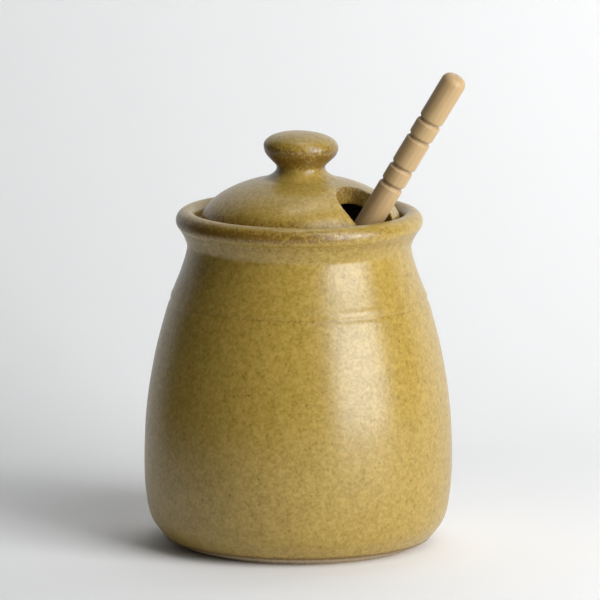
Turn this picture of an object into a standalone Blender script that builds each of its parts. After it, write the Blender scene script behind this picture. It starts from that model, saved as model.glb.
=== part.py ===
"""A stoneware honey pot: a thrown jar, its domed lid with a notch, and a turned wooden dipper."""

import math

import bmesh
import bpy
from mathutils import Vector
from mathutils.geometry import interpolate_bezier

MM = 0.001

# Driving dimensions. Heights are above the surface the pot stands on.
CREST_HEIGHT = 122.5 * MM
BELLY_RADIUS = 56.1 * MM
WALL = 6.0 * MM
GAP = 0.3 * MM

# The jar
FOOT_RADIUS = 42.6 * MM
FOOT_BEVEL = 0.4 * MM
BASE_THICKNESS = 7.0 * MM
INNER_CORNER = 12.0 * MM
LIP_RADIUS = 40.9 * MM
LIP_HALF_HEIGHT = 3.9 * MM
LIP_OUTSIDE = 3.95 * MM
LIP_INSIDE = 3.3 * MM
LEDGE_DEPTH = 4.7 * MM
LEDGE_BEVEL = 0.5 * MM
MOUTH_RADIUS = 32.9 * MM
THROAT_LENGTH = 6.0 * MM
NECK_HEIGHT = 108.8 * MM
NECK_RADIUS = 40.7 * MM
THROWING_LINE_HEIGHT = 90.6 * MM
THROWING_LINE_WIDTH = 2.4 * MM
THROWING_RIDGE = 0.15 * MM
THROWING_GROOVE = 0.25 * MM

# The jar's outer wall from shoulder to heel, as radius and height shares of belly and crest
SHOULDER_TO_HEEL = (
    (0.762, 0.825),
    (0.833, 0.739),
    (0.887, 0.653),
    (0.938, 0.555),
    (0.986, 0.408),
    (1.000, 0.253),
    (0.989, 0.155),
    (0.952, 0.078),
)
HEEL_HEIGHT = 2.7 * MM
HEEL_RADIUS = 48.5 * MM

# The lid, which lies a little off the jar's axis as a hand-made one does
LID_SHIFT = 0.5 * MM
LID_RADIUS = 36.9 * MM
LID_RISE = 18.9 * MM
LID_EDGE_REACH = 35.8 * MM
LID_EDGE_ROUND = 1.8 * MM
LID_EDGE_BULGE = 0.2 * MM
LID_SPRING_HEIGHT = 116.4 * MM
LID_HOLLOW_RADIUS = 31.0 * MM
LID_HOLLOW_RISE = 12.5 * MM
DOME_START_RADIUS = 13.4 * MM
KNOB_RADIUS = 13.7 * MM
KNOB_HEIGHT = 145.5 * MM
KNOB_CROWN = 5.6 * MM
KNOB_CROWN_SQUARENESS = 0.92
KNOB_SKIRT = 6.4 * MM
KNOB_NECK_RADIUS = 8.75 * MM
KNOB_NECK_HEIGHT = 138.0 * MM
KNOB_NECK_DROP = 4.0 * MM

# The knob's underside, as shares of its overhang and of the skirt's height
SKIRT_CURVE = ((0.86, 0.36), (0.49, 0.69), (0.06, 1.0))

# The hollow curve from the knob's neck to the dome, as shares of its reach and of its drop
NECK_FOOT_CURVE = ((0.0, 0.0), (0.19, 0.40), (0.52, 0.70))

# The notch in the lid
KNOB_LEAN = math.radians(1.8)
NOTCH_CENTRE = (24.1 * MM, -18.5 * MM)
NOTCH_RADIUS = 10.9 * MM
NOTCH_CUT_HEIGHT = 40.0 * MM
NOTCH_SIDES = 40

# The dipper, placed by the point where its axis passes the lip
DIPPER_AT_LIP = (24.95 * MM, -14.4 * MM, 120.0 * MM)
DIPPER_TILT = math.radians(31.0)
DIPPER_HEADING = math.radians(-19.0)
HANDLE_RADIUS = 4.6 * MM
HANDLE_ABOVE_LIP = 64.5 * MM
HANDLE_END_ROUND = 3.0 * MM
HANDLE_END_CROWN = 0.5 * MM
HANDLE_GROOVES = (19.6 * MM, 27.1 * MM, 39.6 * MM, 47.1 * MM)
GROOVE_DEPTH = 0.85 * MM
GROOVE_WIDTH = 2.2 * MM
DIPPER_LENGTH = 193.5 * MM
HEAD_LENGTH = 34.0 * MM
HEAD_RADIUS = 12.5 * MM
HEAD_RIDGES = 6
HEAD_GROOVE_SHARE = 0.36
HEAD_GROOVE_DEPTH = 3.4 * MM
HEAD_SHOULDER = 6.0 * MM
HEAD_BLUNTNESS = 1.06

# Facets round each turned piece
SHARP_ANGLE = math.radians(40.0)
JAR_SIDES = 56
LID_SIDES = 48
DIPPER_SIDES = 24


def clear_scene():
    """Remove every object that the file holds."""
    for item in list(bpy.data.objects):
        bpy.data.objects.remove(item, do_unlink=True)


def make_material(name, colour, roughness, metallic):
    """A plain surface of one colour."""
    material = bpy.data.materials.new(name)
    material.use_nodes = True
    shader = material.node_tree.nodes["Principled BSDF"]
    shader.inputs["Base Color"].default_value = (*colour, 1.0)
    shader.inputs["Roughness"].default_value = roughness
    shader.inputs["Metallic"].default_value = metallic
    return material


def smooth_run(stations, steps):
    """A smooth curve through every (radius, height) station, with the same steps between each two."""
    points = [Vector((radius, 0.0, height)) for radius, height in stations]
    lengths = [(end - start).length for start, end in zip(points, points[1:])]
    last = len(points) - 1
    tangents = []
    for index in range(len(points)):
        before = max(index - 1, 0)
        after = min(index + 1, last)
        tangents.append((points[after] - points[before]) / sum(lengths[before:after]))
    run = [points[0]]
    for index, length in enumerate(lengths):
        start = points[index]
        end = points[index + 1]
        handle_out = start + tangents[index] * length / 3.0
        handle_in = end - tangents[index + 1] * length / 3.0
        run += interpolate_bezier(start, handle_out, handle_in, end, steps + 1)[1:]
    return [(point.x, point.z) for point in run]


def arc(centre, across, up, start_degrees, end_degrees, steps):
    """Points on an ellipse's arc, with its half width and half height. 0 degrees points outward."""
    points = []
    for step in range(steps + 1):
        angle = math.radians(start_degrees + (end_degrees - start_degrees) * step / steps)
        points.append((centre[0] + across * math.cos(angle), centre[1] + up * math.sin(angle)))
    return points


def turned_mesh(name, profile, sides):
    """Spin a profile of (radius, height) points round Z. It starts and ends on the axis."""
    mesh = bpy.data.meshes.new(name)
    work = bmesh.new()
    ring = [work.verts.new((radius, 0.0, height)) for radius, height in profile]
    edges = [work.edges.new(pair) for pair in zip(ring, ring[1:])]
    bmesh.ops.spin(
        work, geom=ring + edges, cent=(0.0, 0.0, 0.0), axis=(0.0, 0.0, 1.0),
        angle=math.tau, steps=sides, use_merge=True,
    )
    bmesh.ops.remove_doubles(work, verts=work.verts, dist=0.01 * MM)
    bmesh.ops.recalc_face_normals(work, faces=work.faces)
    work.to_mesh(mesh)
    work.free()
    mesh.shade_smooth()
    mesh.set_sharp_from_angle(angle=SHARP_ANGLE)
    return mesh


def add_object(name, mesh, material):
    """Put a mesh in the scene under its own name."""
    item = bpy.data.objects.new(name, mesh)
    item.data.materials.append(material)
    bpy.context.scene.collection.objects.link(item)
    return item


def jar_outer_wall():
    """The jar's outer side, from under the lip down to the middle of its foot."""
    lip_height = CREST_HEIGHT - LIP_HALF_HEIGHT
    under_lip = arc((LIP_RADIUS, lip_height), LIP_OUTSIDE, LIP_HALF_HEIGHT, -50.0, -50.0, 1)[0]
    below_lip = (NECK_RADIUS + 0.9 * MM, NECK_HEIGHT + 3.4 * MM)
    waist = [(BELLY_RADIUS * r, CREST_HEIGHT * h) for r, h in SHOULDER_TO_HEEL]
    heel = (HEEL_RADIUS, HEEL_HEIGHT)
    neck = (NECK_RADIUS, NECK_HEIGHT)
    run = smooth_run([under_lip, below_lip, neck] + waist + [heel], 2)[1:]
    relief = ((1.5, 0.0), (0.5, THROWING_RIDGE), (-0.5, -THROWING_GROOVE), (-1.5, 0.0))
    line = [throwing_line_point(run, widths, proud) for widths, proud in relief]
    above = [point for point in run if point[1] > line[0][1]]
    below = [point for point in run if point[1] < line[-1][1]]
    foot = [(FOOT_RADIUS + FOOT_BEVEL, FOOT_BEVEL), (FOOT_RADIUS, 0.0), (0.0, 0.0)]
    return above + line + below + foot


def throwing_line_point(run, widths_above, proud):
    """A point beside the thrown line: the wall's own radius at that height, and how proud it stands."""
    height = THROWING_LINE_HEIGHT + widths_above * THROWING_LINE_WIDTH
    for upper, lower in zip(run, run[1:]):
        if upper[1] >= height > lower[1]:
            share = (upper[1] - height) / (upper[1] - lower[1])
            return (upper[0] + (lower[0] - upper[0]) * share + proud, height)
    raise ValueError("the thrown line lies off the wall")


def jar_inner_wall():
    """The jar's inside, from the middle of its floor up to the ledge that carries the lid."""
    wall = [(BELLY_RADIUS * r - WALL, CREST_HEIGHT * h) for r, h in SHOULDER_TO_HEEL[:-1]]
    corner = (wall[-1][0] - INNER_CORNER, BASE_THICKNESS + INNER_CORNER)
    floor = arc(corner, INNER_CORNER, INNER_CORNER, -90.0, -12.0, 4)
    ledge_height = CREST_HEIGHT - LEDGE_DEPTH
    throat = (MOUTH_RADIUS, ledge_height - THROAT_LENGTH)
    upward = smooth_run(wall[-2::-1] + [throat], 2)
    ledge = [
        (MOUTH_RADIUS, ledge_height - LEDGE_BEVEL),
        (MOUTH_RADIUS + LEDGE_BEVEL, ledge_height),
        (LIP_RADIUS - LIP_INSIDE, ledge_height),
    ]
    return [(0.0, BASE_THICKNESS)] + floor + upward + ledge


def make_jar(glaze):
    """The thrown jar: foot, belly, neck and rounded lip, hollow down to its floor."""
    lip_height = CREST_HEIGHT - LIP_HALF_HEIGHT
    centre = (LIP_RADIUS, lip_height)
    lip = arc(centre, LIP_INSIDE, LIP_HALF_HEIGHT, 180.0, 90.0, 4)
    lip += arc(centre, LIP_OUTSIDE, LIP_HALF_HEIGHT, 90.0, -50.0, 7)[1:]
    profile = jar_inner_wall() + lip + jar_outer_wall()
    return add_object("jar", turned_mesh("jar", profile, JAR_SIDES), glaze)


def lid_profile():
    """From the knob's top down the dome to the lid's edge, then back up its hollow underside."""
    crown = []
    for step in range(7):
        angle = math.radians(90.0 * step / 6)
        radius = KNOB_RADIUS * math.sin(angle) ** KNOB_CROWN_SQUARENESS
        rise = KNOB_CROWN * abs(math.cos(angle)) ** KNOB_CROWN_SQUARENESS
        crown.append((radius, KNOB_HEIGHT + rise))
    overhang = KNOB_RADIUS - KNOB_NECK_RADIUS
    skirt = [(KNOB_NECK_RADIUS + overhang * r, KNOB_HEIGHT - KNOB_SKIRT * h) for r, h in SKIRT_CURVE]
    reach = DOME_START_RADIUS - KNOB_NECK_RADIUS
    neck_foot = [
        (KNOB_NECK_RADIUS + reach * r, KNOB_NECK_HEIGHT - KNOB_NECK_DROP * h)
        for r, h in NECK_FOOT_CURVE
    ]
    start = math.degrees(math.acos(DOME_START_RADIUS / LID_RADIUS))
    end = math.degrees(math.acos(LID_EDGE_REACH / LID_RADIUS))
    dome = arc((0.0, LID_SPRING_HEIGHT), LID_RADIUS, LID_RISE, start, end, 9)
    seat_height = CREST_HEIGHT - LEDGE_DEPTH + GAP
    edge_radius = LID_EDGE_REACH + LID_EDGE_BULGE - LID_EDGE_ROUND
    edge_height = (dome[-1][1] + seat_height) / 2
    edge = arc((edge_radius, edge_height), LID_EDGE_ROUND, edge_height - seat_height, 20.0, -90.0, 5)
    seat_share = (seat_height - LID_SPRING_HEIGHT) / LID_HOLLOW_RISE
    hollow_start = math.degrees(math.asin(seat_share))
    hollow = arc((0.0, LID_SPRING_HEIGHT), LID_HOLLOW_RADIUS, LID_HOLLOW_RISE, hollow_start, 90.0, 6)
    return crown + skirt + neck_foot + dome + edge + hollow


def lean_knob(mesh):
    """Tip the knob a little to one side, with no change at its neck."""
    skirt_bottom = KNOB_HEIGHT - KNOB_SKIRT
    for vertex in mesh.vertices:
        share = min(max((vertex.co.z - skirt_bottom) / KNOB_SKIRT, 0.0), 1.0)
        vertex.co.z -= math.tan(KNOB_LEAN) * vertex.co.x * share


def make_lid(glaze):
    """The domed lid and its knob, one piece, with a round notch cut in its edge for the dipper."""
    mesh = turned_mesh("lid", lid_profile(), LID_SIDES)
    lean_knob(mesh)
    lid = add_object("lid", mesh, glaze)
    lid.location.x = LID_SHIFT
    work = bmesh.new()
    bmesh.ops.create_cone(
        work, cap_ends=True, segments=NOTCH_SIDES, radius1=NOTCH_RADIUS,
        radius2=NOTCH_RADIUS, depth=NOTCH_CUT_HEIGHT,
    )
    cutter_mesh = bpy.data.meshes.new("notch_cutter")
    work.to_mesh(cutter_mesh)
    work.free()
    cutter = add_object("notch_cutter", cutter_mesh, glaze)
    cutter.location = (*NOTCH_CENTRE, CREST_HEIGHT)
    cutter.hide_render = True
    cutter.display_type = "WIRE"
    notch = lid.modifiers.new("notch", "BOOLEAN")
    notch.operation = "DIFFERENCE"
    notch.solver = "EXACT"
    notch.object = cutter
    return lid


def handle_profile():
    """The handle from its rounded top end, past two pairs of turned grooves, to the head."""
    rounding = (HANDLE_RADIUS - HANDLE_END_ROUND, -HANDLE_END_ROUND)
    points = [(0.0, HANDLE_END_CROWN)]
    points += arc(rounding, HANDLE_END_ROUND, HANDLE_END_ROUND, 90.0, 0.0, 3)
    for groove in HANDLE_GROOVES:
        points += [
            (HANDLE_RADIUS, -groove + GROOVE_WIDTH / 2),
            (HANDLE_RADIUS - GROOVE_DEPTH, -groove),
            (HANDLE_RADIUS, -groove - GROOVE_WIDTH / 2),
        ]
    return points


def head_profile():
    """The dipper's head: a stack of rounded ridges under an oval outline, with grooves between."""
    pitch = HEAD_LENGTH / HEAD_RIDGES
    groove = pitch * HEAD_GROOVE_SHARE
    middle = HEAD_LENGTH / 2
    top = -(DIPPER_LENGTH - HEAD_LENGTH)
    points = [(HANDLE_RADIUS, top + HEAD_SHOULDER)]
    for ridge in range(HEAD_RIDGES):
        upper = ridge * pitch + groove / 2
        lower = (ridge + 1) * pitch - groove / 2
        for depth in (upper, lower):
            offset = (depth - middle) / (middle * HEAD_BLUNTNESS)
            points.append((HEAD_RADIUS * math.sqrt(1.0 - offset ** 2), top - depth))
        if ridge < HEAD_RIDGES - 1:
            inner = points[-1][0] - HEAD_GROOVE_DEPTH
            points.append((inner, top - lower - groove * 0.25))
            points.append((inner, top - lower - groove * 0.75))
    return points + [(0.0, -DIPPER_LENGTH)]


def make_dipper(wood):
    """The dipper leans out through the notch, with its head on the jar's floor."""
    mesh = turned_mesh("dipper", handle_profile() + head_profile(), DIPPER_SIDES)
    dipper = add_object("dipper", mesh, wood)
    direction = Vector((
        math.sin(DIPPER_TILT) * math.cos(DIPPER_HEADING),
        math.sin(DIPPER_TILT) * math.sin(DIPPER_HEADING),
        math.cos(DIPPER_TILT),
    ))
    dipper.location = Vector(DIPPER_AT_LIP) + direction * HANDLE_ABOVE_LIP
    dipper.rotation_euler = Vector((0.0, 0.0, 1.0)).rotation_difference(direction).to_euler()
    return dipper


def main():
    """Build the three pieces."""
    clear_scene()
    glaze = make_material("ochre_glaze", (0.46, 0.33, 0.11), 0.38, 0.0)
    wood = make_material("beech", (0.62, 0.44, 0.27), 0.6, 0.0)
    make_jar(glaze)
    make_lid(glaze)
    make_dipper(wood)


main()
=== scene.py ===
"""A stoneware honey pot: a thrown jar, a domed lid with a notch, and a turned wooden dipper."""

import math

import bpy
import numpy as np
from bpy.props import FloatProperty, FloatVectorProperty, IntProperty, PointerProperty
from mathutils import Matrix, Vector
from mathutils.geometry import interpolate_bezier


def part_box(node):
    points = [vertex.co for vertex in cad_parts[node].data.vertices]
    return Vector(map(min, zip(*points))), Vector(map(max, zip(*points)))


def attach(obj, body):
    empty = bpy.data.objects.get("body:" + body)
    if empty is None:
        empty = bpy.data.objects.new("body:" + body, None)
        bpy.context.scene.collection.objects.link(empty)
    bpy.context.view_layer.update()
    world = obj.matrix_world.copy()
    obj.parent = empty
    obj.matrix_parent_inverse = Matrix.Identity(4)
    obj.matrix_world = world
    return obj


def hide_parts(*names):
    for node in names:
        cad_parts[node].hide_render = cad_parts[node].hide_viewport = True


bl_info = {
    "name": "Honey pot",
    "version": (1, 0, 0),
    "blender": (4, 5, 0),
    "location": "3D View > Sidebar > Honey pot",
    "description": "Makes a glazed honey pot with its lid and dipper, on a pale studio sweep",
    "category": "Add Mesh",
}

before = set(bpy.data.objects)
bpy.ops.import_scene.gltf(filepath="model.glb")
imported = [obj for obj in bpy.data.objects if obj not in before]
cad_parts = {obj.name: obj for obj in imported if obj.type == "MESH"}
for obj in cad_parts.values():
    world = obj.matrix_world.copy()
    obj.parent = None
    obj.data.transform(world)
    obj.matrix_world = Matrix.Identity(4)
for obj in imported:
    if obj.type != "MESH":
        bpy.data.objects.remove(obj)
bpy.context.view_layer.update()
JAR_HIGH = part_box("jar")[1]
LID_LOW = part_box("lid")[0]

MM = 0.001

# Outer wall of the jar from shoulder to heel, as shares of belly radius and crest height
SHOULDER_TO_HEEL = (
    (0.762, 0.825),
    (0.833, 0.739),
    (0.887, 0.653),
    (0.938, 0.555),
    (0.986, 0.408),
    (1.000, 0.253),
    (0.989, 0.155),
    (0.952, 0.078),
)

# Below 1 the knob's top is a little squarer than half an ellipse
KNOB_SQUARENESS = 0.92

# The knob's underside, as shares of its overhang and of the skirt's height
SKIRT_CURVE = ((0.86, 0.36), (0.49, 0.69), (0.06, 1.0))

# The hollow curve from the knob's neck to the dome, as shares of its reach and of its drop
NECK_FOOT_CURVE = ((0.0, 0.0), (0.19, 0.40), (0.52, 0.70))

# Where the neck runs into the lip, measured from the neck's narrowest part
UNDER_LIP_OUT = 0.9 * MM
UNDER_LIP_UP = 3.4 * MM

# Distances of the handle's grooves from its end
HANDLE_GROOVES = (19.6 * MM, 27.1 * MM, 39.6 * MM, 47.1 * MM)

# Below 1 a groove in the handle is a little rounder than a V
GROOVE_FULLNESS = 0.85

# The head's grooves as a share of their pitch, and its oval as a share of its half length
HEAD_GAP_SHARE = 0.36
OVAL_OVERREACH = 1.06

# How much of each side a rounded corner takes, where the profile turns more than this
JAR_CORNER = 0.5 * MM
DIPPER_CORNER = 0.6 * MM
SHARPEST_LEFT = math.radians(25.0)

# Within this radius the hand-made wobble fades to nothing on the axis
STILL_AXIS = 12.0 * MM

# How far a speck's outline and the fine grain stray, which keeps them from being round
RAGGEDNESS = 0.4 * MM

# How far the tree's heart lies from the dipper's axis, how the grain leans, and the width of a ring
HEARTWOOD = (21.0 * MM, 8.0 * MM, 0.0)
GRAIN_LEAN = (0.03, -0.02, 0.0)
RING_SPACING = 1.848 * MM

# Towards which side the lip and the lid's edge are brownest, and how wide the lid's brown rim is. That
# side faces away from the light, so this brown is partly thin glaze and partly painted shade
LIP_BROWN_AND_SHADE_TURN = math.radians(-135.0)
RIM_BROWN_AND_SHADE_TURN = math.radians(-140.0)
RIM_BROWN_AND_SHADE_WIDTH = 5.0 * MM

# How much of the handle has painted shade in its grooves, from its end
HANDLE_SHOWN = 60.0 * MM

# Vertices closer than this are one: it closes a turned form's seam and its ends
WELD = 0.004 * MM


def length(name, description, default):
    """A length that a user can change."""
    return FloatProperty(name=name, description=description, default=default, unit="LENGTH", precision=5)


def lean_angle(name, description, degrees):
    """An angle that a user can change."""
    turn = math.radians(degrees)
    return FloatProperty(name=name, description=description, default=turn, subtype="ANGLE")


def light_strength(name, description, default):
    """A light's strength that a user can change."""
    return FloatProperty(name=name, description=description, default=default, min=0.0)


def whole_number(name, description, default, least, most):
    """A whole number that a user can change."""
    return IntProperty(name=name, description=description, default=default, min=least, max=most)


def colour(name, description, default):
    """A colour that a user can change."""
    return FloatVectorProperty(
        name=name, description=description, default=default, subtype="COLOR", size=3, min=0.0, max=1.0
    )


class HoneyPotJar(bpy.types.PropertyGroup):
    """Sizes of the thrown jar."""

    crest_height: length("Crest height", "Height of the lip's top", JAR_HIGH.z)
    belly_radius: length("Belly radius", "Widest radius of the jar", JAR_HIGH.x)
    wall: length("Wall", "Thickness of the jar's wall", 6.0 * MM)
    base: length("Base", "Thickness of the jar's floor", 7.0 * MM)
    inner_corner: length("Inner corner", "Radius between the floor and the wall inside", 12.0 * MM)
    foot_radius: length("Foot radius", "Radius of the bare foot", 42.6 * MM)
    heel_radius: length("Heel radius", "Radius of the heel, where the glaze ends", 48.5 * MM)
    heel_height: length("Heel height", "Height of the heel, where the glaze ends", 2.7 * MM)
    foot_bevel: length("Foot bevel", "Size of the small bevel round the foot", 0.4 * MM)
    lip_radius: length("Lip radius", "Radius of the lip's crest", 40.9 * MM)
    lip_half_height: length("Lip half height", "Half the height of the rolled lip", 3.9 * MM)
    lip_outside: length("Lip outside", "How far the lip rolls out from its crest", 3.95 * MM)
    lip_inside: length("Lip inside", "How far the lip reaches in from its crest", 3.3 * MM)
    ledge_depth: length("Ledge depth", "Depth of the lid's ledge below the crest", 4.7 * MM)
    mouth_radius: length("Mouth radius", "Radius of the open mouth", 32.9 * MM)
    throat: length("Throat", "Depth of the straight part under the ledge", 6.0 * MM)
    neck_height: length("Neck height", "Height of the narrowest part of the neck", 108.8 * MM)
    neck_radius: length("Neck radius", "Radius of the narrowest part of the neck", 40.7 * MM)
    line_height: length("Line height", "Height of the line left by throwing", 90.6 * MM)
    line_width: length("Line width", "Width of the ridge, and of the groove under it", 2.4 * MM)
    line_ridge: length("Line ridge", "How far the line's ridge stands out", 0.15 * MM)
    line_groove: length("Line groove", "How deep the groove under the ridge is", 0.25 * MM)
    wobble: length("Wobble", "How far the hand-made wall strays inwards", 0.14 * MM)
    sides: whole_number("Sides", "Facets round the jar", 240, 24, 480)


class HoneyPotLid(bpy.types.PropertyGroup):
    """Sizes of the domed lid and its knob."""

    shift: length("Shift", "How far the lid lies off the jar's axis", 0.5 * MM)
    dome_radius: length("Dome radius", "Half width of the dome's curve", 36.9 * MM)
    dome_rise: length("Dome rise", "Height of the dome's curve", 18.9 * MM)
    dome_start: length("Dome start", "Radius where the dome leaves the knob's neck", 13.4 * MM)
    spring_height: length("Spring height", "Height that the dome's curve springs from", 116.4 * MM)
    edge_reach: length("Edge reach", "Radius where the dome meets the rounded edge", 35.8 * MM)
    edge_round: length("Edge round", "Width of the edge's rounding", 1.8 * MM)
    edge_bulge: length("Edge bulge", "How far the edge stands past the dome", 0.2 * MM)
    seat_height: length("Seat height", "Height of the lid's underside", LID_LOW.z)
    hollow_radius: length("Hollow radius", "Radius of the hollow under the dome", 31.0 * MM)
    hollow_rise: length("Hollow rise", "Height of the hollow's curve", 12.5 * MM)
    knob_radius: length("Knob radius", "Widest radius of the knob", 13.7 * MM)
    knob_height: length("Knob height", "Height of the knob's widest part", 145.5 * MM)
    knob_crown: length("Knob crown", "Rise of the knob's top", 5.6 * MM)
    knob_skirt: length("Knob skirt", "Depth of the knob's underside", 6.4 * MM)
    knob_lean: lean_angle("Knob lean", "How far the knob tips to one side", 1.8)
    neck_radius: length("Neck radius", "Radius of the knob's neck", 8.75 * MM)
    neck_height: length("Neck height", "Height of the knob's neck", 138.0 * MM)
    neck_drop: length("Neck drop", "Depth of the curve from the neck to the dome", 4.0 * MM)
    notch_x: length("Notch X", "Place of the notch's centre along X", 24.1 * MM)
    notch_y: length("Notch Y", "Place of the notch's centre along Y", -18.5 * MM)
    notch_radius: length("Notch radius", "Radius of the notch for the dipper", 10.9 * MM)
    wobble: length("Wobble", "How far the hand-made surface strays inwards", 0.10 * MM)
    softening: length("Softening", "Grain of the remesh that rounds the notch's edges", 0.40 * MM)
    sides: whole_number("Sides", "Facets round the lid", 240, 24, 480)


class HoneyPotDipper(bpy.types.PropertyGroup):
    """Sizes and place of the turned dipper."""

    at_lip_x: length("At lip X", "Where its axis passes the lip, along X", 24.95 * MM)
    at_lip_y: length("At lip Y", "Where its axis passes the lip, along Y", -14.4 * MM)
    at_lip_z: length("At lip Z", "Height at which its axis passes the lip", 120.0 * MM)
    tilt: lean_angle("Tilt", "Lean from upright", 31.0)
    heading: lean_angle("Heading", "Direction of the lean, from +X", -19.0)
    above_lip: length("Above the lip", "Length of handle above the lip", 64.5 * MM)
    total: length("Length", "Length of the whole dipper", 193.5 * MM)
    handle_radius: length("Handle radius", "Radius of the handle", 4.59 * MM)
    end_round: length("End round", "Rounding of the handle's end", 3.0 * MM)
    end_crown: length("End crown", "Rise of the handle's end", 0.5 * MM)
    groove_depth: length("Groove depth", "Depth of the handle's grooves", 0.85 * MM)
    groove_width: length("Groove width", "Width of the handle's grooves", 2.2 * MM)
    head_length: length("Head length", "Length of the grooved head", 34.0 * MM)
    head_radius: length("Head radius", "Radius of the head", 12.5 * MM)
    head_groove: length("Head groove", "Depth of the head's grooves", 3.4 * MM)
    head_shoulder: length("Head shoulder", "Length of the taper above the head", 6.0 * MM)
    ridge_rounding: length("Ridge rounding", "How far a ridge's rims are rounded down", 0.35 * MM)
    head_ridges: whole_number("Head ridges", "Ridges on the head", 6, 2, 12)
    sides: whole_number("Sides", "Facets round the dipper", 96, 12, 240)


class HoneyPotFinish(bpy.types.PropertyGroup):
    """Colours of the glaze, the bare clay and the wood."""

    ochre: colour("Ochre", "The darker grains of the glaze", (0.232, 0.146, 0.008))
    honey: colour("Honey", "The paler grains of the glaze", (0.465, 0.320, 0.076))
    # Rust is the thin glaze's brown, and also painted shade under the lip and the knob, in the thrown
    # line's groove and on the side away from the light
    rust_and_shade: colour("Rust", "Where the glaze lies thin over the clay", (0.160, 0.081, 0.008))
    iron: colour("Iron", "The dark specks", (0.110, 0.060, 0.014))
    bare_clay: colour("Bare clay", "The unglazed stoneware", (0.55, 0.45, 0.30))
    grit: colour("Grit", "The darker grains in the bare clay", (0.36, 0.25, 0.15))
    beech: colour("Beech", "The wood's pale early growth", (0.462, 0.314, 0.150))
    beech_late: colour("Beech, late growth", "The wood's darker bands", (0.396, 0.262, 0.118))
    # The fleck colour is also the painted shade in the handle's grooves
    beech_fleck_and_groove_shade: colour("Beech fleck", "The short dark flecks in the wood", (0.24, 0.150, 0.075))


class HoneyPotStudio(bpy.types.PropertyGroup):
    """The studio's floor and light."""

    floor: colour("Floor", "The sweep's colour", (0.905, 0.912, 0.918))
    key_power: light_strength("Key power", "Watts of the low soft box", 10.7)
    upper_power: light_strength("Upper power", "Watts of the upper soft box", 3.9)
    top_power: light_strength("Top power", "Watts of the light overhead", 1.7)
    backdrop: light_strength("Backdrop", "How much brighter the room looks to the camera", 0.7)
    fill: light_strength("Fill", "Strength of the room's own light", 0.01)


def smooth_run(stations, steps):
    """A smooth curve through every (radius, height) station, with the same steps between each two."""
    points = [Vector((radius, 0.0, height)) for radius, height in stations]
    lengths = [(end - start).length for start, end in zip(points, points[1:])]
    last = len(points) - 1
    tangents = []
    for index in range(len(points)):
        before = max(index - 1, 0)
        after = min(index + 1, last)
        tangents.append((points[after] - points[before]) / sum(lengths[before:after]))
    run = [points[0]]
    for index, span in enumerate(lengths):
        start = points[index]
        end = points[index + 1]
        handle_out = start + tangents[index] * span / 3.0
        handle_in = end - tangents[index + 1] * span / 3.0
        run += interpolate_bezier(start, handle_out, handle_in, end, steps + 1)[1:]
    return [(point.x, point.z) for point in run]


def arc(centre, across, up, start_degrees, end_degrees, steps):
    """Points on an ellipse's arc, with its half width and half height. 0 degrees points outward."""
    points = []
    for step in range(steps + 1):
        angle = math.radians(start_degrees + (end_degrees - start_degrees) * step / steps)
        points.append((centre[0] + across * math.cos(angle), centre[1] + up * math.sin(angle)))
    return points


def soften_corners(profile, cut, steps):
    """Round each sharp corner of a profile, taking at most cut off its two sides."""
    rounded = [profile[0]]
    for before, corner, after in zip(profile, profile[1:], profile[2:]):
        middle = Vector(corner)
        arm_in = Vector(before) - middle
        arm_out = Vector(after) - middle
        if arm_in.angle(-arm_out, 0.0) < SHARPEST_LEFT:
            rounded.append(corner)
            continue
        start = middle + arm_in.normalized() * min(cut, arm_in.length * 0.45)
        end = middle + arm_out.normalized() * min(cut, arm_out.length * 0.45)
        for step in range(steps + 1):
            share = step / steps
            point = start * (1 - share) ** 2 + middle * 2 * share * (1 - share) + end * share ** 2
            rounded.append((point.x, point.y))
    rounded.append(profile[-1])
    return rounded


def add_node(tree, kind, place=(0, 0), inputs=None, **settings):
    """Add a node, set its properties and its unlinked inputs, and link the inputs that are sockets."""
    node = tree.nodes.new(kind)
    node.location = place
    for name, value in settings.items():
        setattr(node, name, value)
    for key, value in (inputs or {}).items():
        socket = node.inputs[key]
        if isinstance(value, bpy.types.NodeSocket):
            tree.links.new(value, socket)
        else:
            socket.default_value = value
    return node


def maths(tree, operation, *values, place=(0, 0), clamp=False):
    """A Math node's result."""
    inputs = dict(enumerate(values))
    node = add_node(tree, "ShaderNodeMath", place, inputs, operation=operation, use_clamp=clamp)
    return node.outputs[0]


def round_the_axis(tree, radius, cosine, sine, height, place):
    """The point at a radius and a height, in the direction of this cosine and sine."""
    across = maths(tree, "MULTIPLY", radius, cosine, place=(place[0] - 180, place[1]))
    along = maths(tree, "MULTIPLY", radius, sine, place=(place[0] - 180, place[1] - 160))
    return add_node(tree, "ShaderNodeCombineXYZ", place, {0: across, 1: along, 2: height}).outputs[0]


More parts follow.
